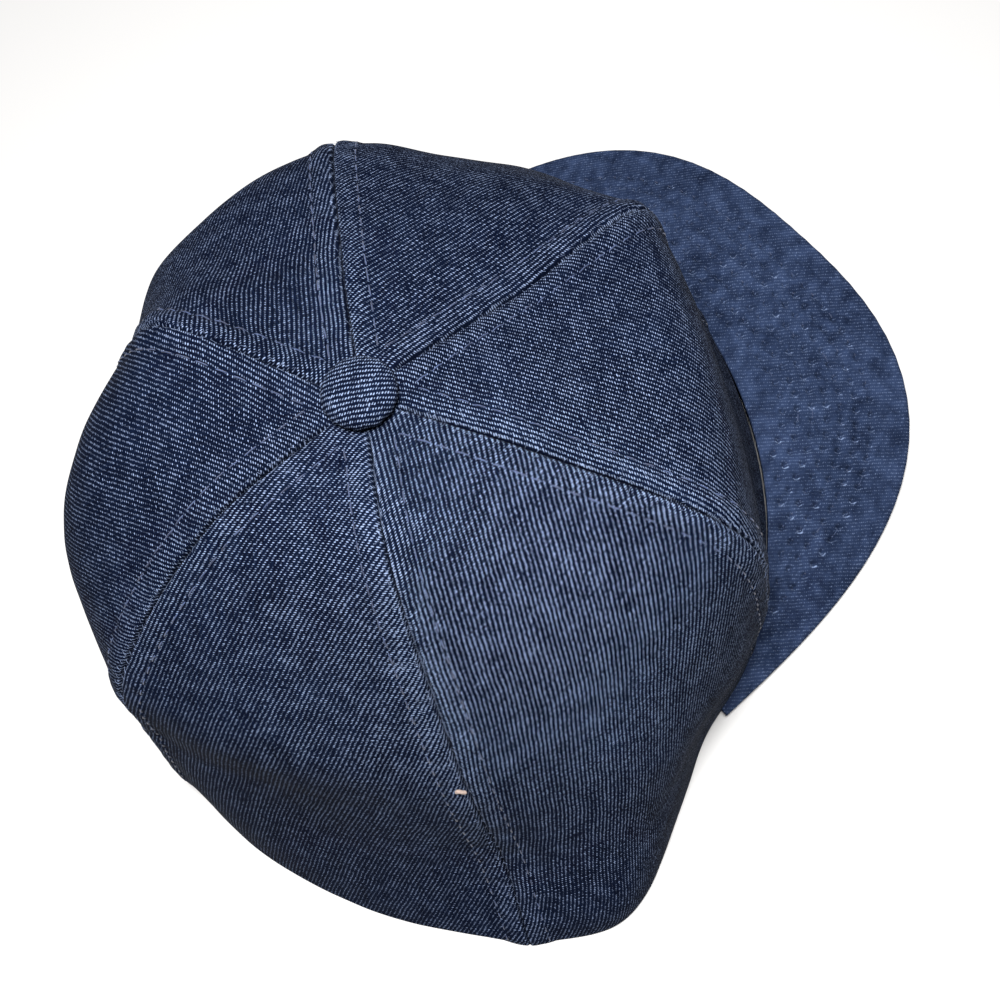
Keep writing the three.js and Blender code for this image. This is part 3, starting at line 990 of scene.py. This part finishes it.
def stitchPiece(name, paths, values):
    # paths holds pairs: points and the cloth's outward direction at each
    points = np.concatenate([path for path, _ in paths]) * metre
    ups = np.concatenate([up for _, up in paths])
    edges = []
    first = 0
    for path, _ in paths:
        edges += [(first + step, first + step + 1) for step in range(len(path) - 1)]
        first += len(path)
    mesh = bpy.data.meshes.new(name)
    mesh.from_pydata(points.tolist(), edges, [])
    attribute = mesh.attributes.new("clothUp", "FLOAT_VECTOR", "POINT")
    attribute.data.foreach_set("vector", ups.astype(np.float32).ravel())
    piece = newObject(name, mesh)
    modifier = piece.modifiers.new("stitch_rows", "NODES")
    modifier.node_group = rowsTree
    for key, value in values.items():
        modifier[rowsKeys[key]] = value
    graph = bpy.context.evaluated_depsgraph_get()
    done = bpy.data.meshes.new_from_object(
        piece.evaluated_get(graph), preserve_all_data_layers=True, depsgraph=graph)
    piece.modifiers.clear()
    piece.data = done
    piece.data.name = name
    piece.data.shade_smooth()
    return piece


seamStitches = {
    "Spacing": seam["stitchSpacing"] * metre, "Length": 3.0 * metre, "Thickness": 0.16 * metre,
    "Rise": 0.3 * metre, "Sink": 0.3 * metre, "Sway": (0.02, 0.03, 0.06), "Seed": 4, "Thread": seamThread,
}
seamPaths = []
for shape in shapes:
    start = startRow(shape["width"])
    lines = stitchLines(shape["front"], shape["fromLeft"], shape["width"])
    ups = stitchLines(shape["normal"], shape["fromLeft"], shape["width"])
    for line, up in zip(lines, ups):
        seamPaths.append((line[start:-8], up[start:-8]))
topstitching = stitchPiece("seam_stitches", seamPaths, seamStitches)

# short broken fibres that stand up along the seams
seamFray = {
    "Spacing": 2.9 * metre, "Length": 1.6 * metre, "Thickness": 0.045 * metre,
    "Rise": 0.12 * metre, "Sink": 0.1 * metre, "Sway": (0.1, 0.3, 1.5), "Seed": 6, "Thread": lint,
}
frayPaths = []
for shape in shapes:
    for column in (3, -5):
        frayPaths.append((shape["front"][24:-30, column], shape["normal"][24:-30, column]))
fray = stitchPiece("seam_fray", frayPaths, seamFray)

visorStitches = {
    "Spacing": visor["stitchSpacing"] * metre, "Length": 3.0 * metre, "Thickness": 0.17 * metre,
    "Rise": 0.08 * metre, "Sink": 0.6 * metre, "Sway": (0.02, 0.03, 0.06), "Seed": 9, "Thread": visorThread,
}
visorLines = []
for path in visorPaths:
    x, y = path[:, 0], path[:, 1]
    middle, rounding = visorHeight(x, y, toVisorEdge(x, y))
    slopeX = 2 * visor["bend"] * x / visorHalfWidth ** 2
    slopeY = np.full(x.shape, -visor["fall"] / visor["reach"])
    up = unit(np.stack([slopeX, slopeY, np.ones(x.shape)], axis=-1))
    line = np.stack([x, y, middle + rounding - visor["channel"]], axis=-1)
    visorLines.append((line[::3], up[::3]))
visorRows = stitchPiece("visor_stitches", visorLines, visorStitches)
print("stitches:", len(topstitching.data.polygons) + len(visorRows.data.polygons), "faces")


fibres = {
    # panel, share across, down, direction in plan, length, curl, lift, radius, seed
    "thread_end": [(3, 0.985, 0.56, 250.0, 2.3, 0.9, 0.3, 0.48, 1)],
}


def tube(points, radius, sides=6):
    # vertices and faces of a closed tube that thins at both ends
    way = unit(np.gradient(points, axis=0))
    side = unit(np.cross(way, np.array([0.13, 0.37, 0.92])))
    other = np.cross(way, side)
    angle = np.arange(sides) * math.tau / sides
    fromEnd = np.minimum(np.arange(len(points)), np.arange(len(points))[::-1])
    thin = radius * np.clip(fromEnd + 0.6, 0, 1.6) / 1.6
    ring = points[:, None] + thin[:, None, None] * (
        side[:, None] * np.cos(angle)[None, :, None] + other[:, None] * np.sin(angle)[None, :, None])
    faces = []
    for row in range(len(points) - 1):
        for step in range(sides):
            after = (step + 1) % sides
            near, far = row * sides, (row + 1) * sides
            faces.append((near + step, near + after, far + after, far + step))
    faces.append(tuple(range(sides))[::-1])
    faces.append(tuple((len(points) - 1) * sides + step for step in range(sides)))
    return ring.reshape(-1, 3), faces


def gridPoint(shape, across, down, key="front"):
    row = int(np.argmin(np.abs(shape["downs"][:, 0] - down)))
    want = across * shape["width"][row, 0]
    return np.array([np.interp(want, shape["fromLeft"][row], shape[key][row, :, axis]) for axis in range(3)])


def fibrePiece(name, table, material):
    points, faces = [], []
    for panel, across, down, way, length, curl, lift, radius, seed in table:
        shape = shapes[panel]
        place = gridPoint(shape, across, down)
        up = unit(gridPoint(shape, across, down, "normal"))
        heading = np.array([math.cos(math.radians(way)), math.sin(math.radians(way)), 0.0])
        side = unit(np.cross(up, heading))
        ahead = np.cross(side, up)
        t = np.linspace(-0.5, 0.5, 15)[:, None]
        path = (place + ahead * t * length + side * curl * np.cos(t * 5.0 + seed) * 0.6
                + up * (radius + lift * np.clip(np.sin((t + 0.5) * math.pi), 0.0, 1.0)))
        ring, quads = tube(path, radius)
        faces += [tuple(len(points) + corner for corner in quad) for quad in quads]
        points += ring.tolist()
    mesh = bpy.data.meshes.new(name)
    mesh.from_pydata((np.array(points) * metre).tolist(), [], faces)
    mesh.shade_smooth()
    mesh.materials.append(material)
    return newObject(name, mesh)


threadEnd = fibrePiece("thread_end", fibres["thread_end"], paleThread)


studio = {
    "target": (-0.0127, -0.01223, 0.05),
    "camera": (-0.0997, 0.03, 0.3465),
    "elevation": 71.93,
    "azimuth": 244.08,
    "roll": 15.89,
    "lens": 44.68,
    "floorSize": 3.0,
    "floorGrey": 0.4,
    "keyPlace": (-0.06, 0.15, 0.62),
    "keySize": 0.2,
    "keyPower": 14.5,
    "keyColour": (1.0, 0.99, 0.98),
    "roomColour": (1.0, 0.97, 0.95, 1.0),
    "roomStrength": 0.08,
}


def cameraAxes():
    azimuth, elevation, roll = (math.radians(studio[key]) for key in ("azimuth", "elevation", "roll"))
    back = Vector((math.sin(azimuth) * math.cos(elevation), -math.cos(azimuth) * math.cos(elevation),
                   math.sin(elevation)))
    level = (-back).cross(Vector((0, 0, 1))).normalized()
    above = level.cross(-back)
    right = math.cos(roll) * level - math.sin(roll) * above
    up = math.sin(roll) * level + math.cos(roll) * above
    return right, up, back


right, up, back = cameraAxes()
lens = bpy.data.cameras.new("photo_camera")
lens.lens = studio["lens"]
lens.sensor_width = 36.0
lens.clip_start = 0.01
camera = newObject("photo_camera", lens)
matrix = [[right[row], up[row], back[row], studio["camera"][row]] for row in range(3)] + [[0, 0, 0, 1]]
camera.matrix_world = Matrix(matrix)
bpy.context.scene.camera = camera


def areaLight(name, place, size, power, colour):
    # a soft square light, aimed at the cap, placed by the camera's right, up and back
    data = bpy.data.lights.new(name, "AREA")
    data.size = size
    data.energy = power
    data.color = colour
    lamp = newObject(name, data)
    spot = Vector(studio["target"]) + right * place[0] + up * place[1] + back * place[2]
    lamp.location = spot
    lamp.rotation_euler = (Vector(studio["target"]) - spot).to_track_quat("-Z", "Y").to_euler()


areaLight("soft_key", studio["keyPlace"], studio["keySize"], studio["keyPower"], studio["keyColour"])

world = bpy.data.worlds.new("studio")
world.use_nodes = True
world.node_tree.nodes["Background"].inputs["Color"].default_value = studio["roomColour"]
world.node_tree.nodes["Background"].inputs["Strength"].default_value = studio["roomStrength"]
bpy.context.scene.world = world
bpy.context.scene.view_settings.view_transform = "Standard"

half = studio["floorSize"] / 2
floorMesh = bpy.data.meshes.new("studio_floor")
corners = [(-half, -half, 0), (half, -half, 0), (half, half, 0), (-half, half, 0)]
floorMesh.from_pydata(corners, [], [(0, 1, 2, 3)])
floorMaterial, start = newMaterial("studio_floor")
floorColour = (*[studio["floorGrey"]] * 3, 1.0)
paint = start.make("ShaderNodeBsdfPrincipled", {}, {"Base Color": floorColour, "Roughness": 0.9})
start.make("ShaderNodeOutputMaterial", {}, {"Surface": paint})
floorMesh.materials.append(floorMaterial)
floor = newObject("studio_floor", floorMesh)

for name, piece in zip(panelNames, panels):
    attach(piece, "root")
    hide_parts(f"panel_{name}")
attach(visorPiece, "root")
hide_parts("visor")
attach(buttonCover, "root")
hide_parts("button")
for piece, slot in ((topstitching, "crown_denim"), (fray, "crown_denim"), (visorRows, "visor_denim"),
                    (threadEnd, "crown_denim")):
    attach(piece, "root")
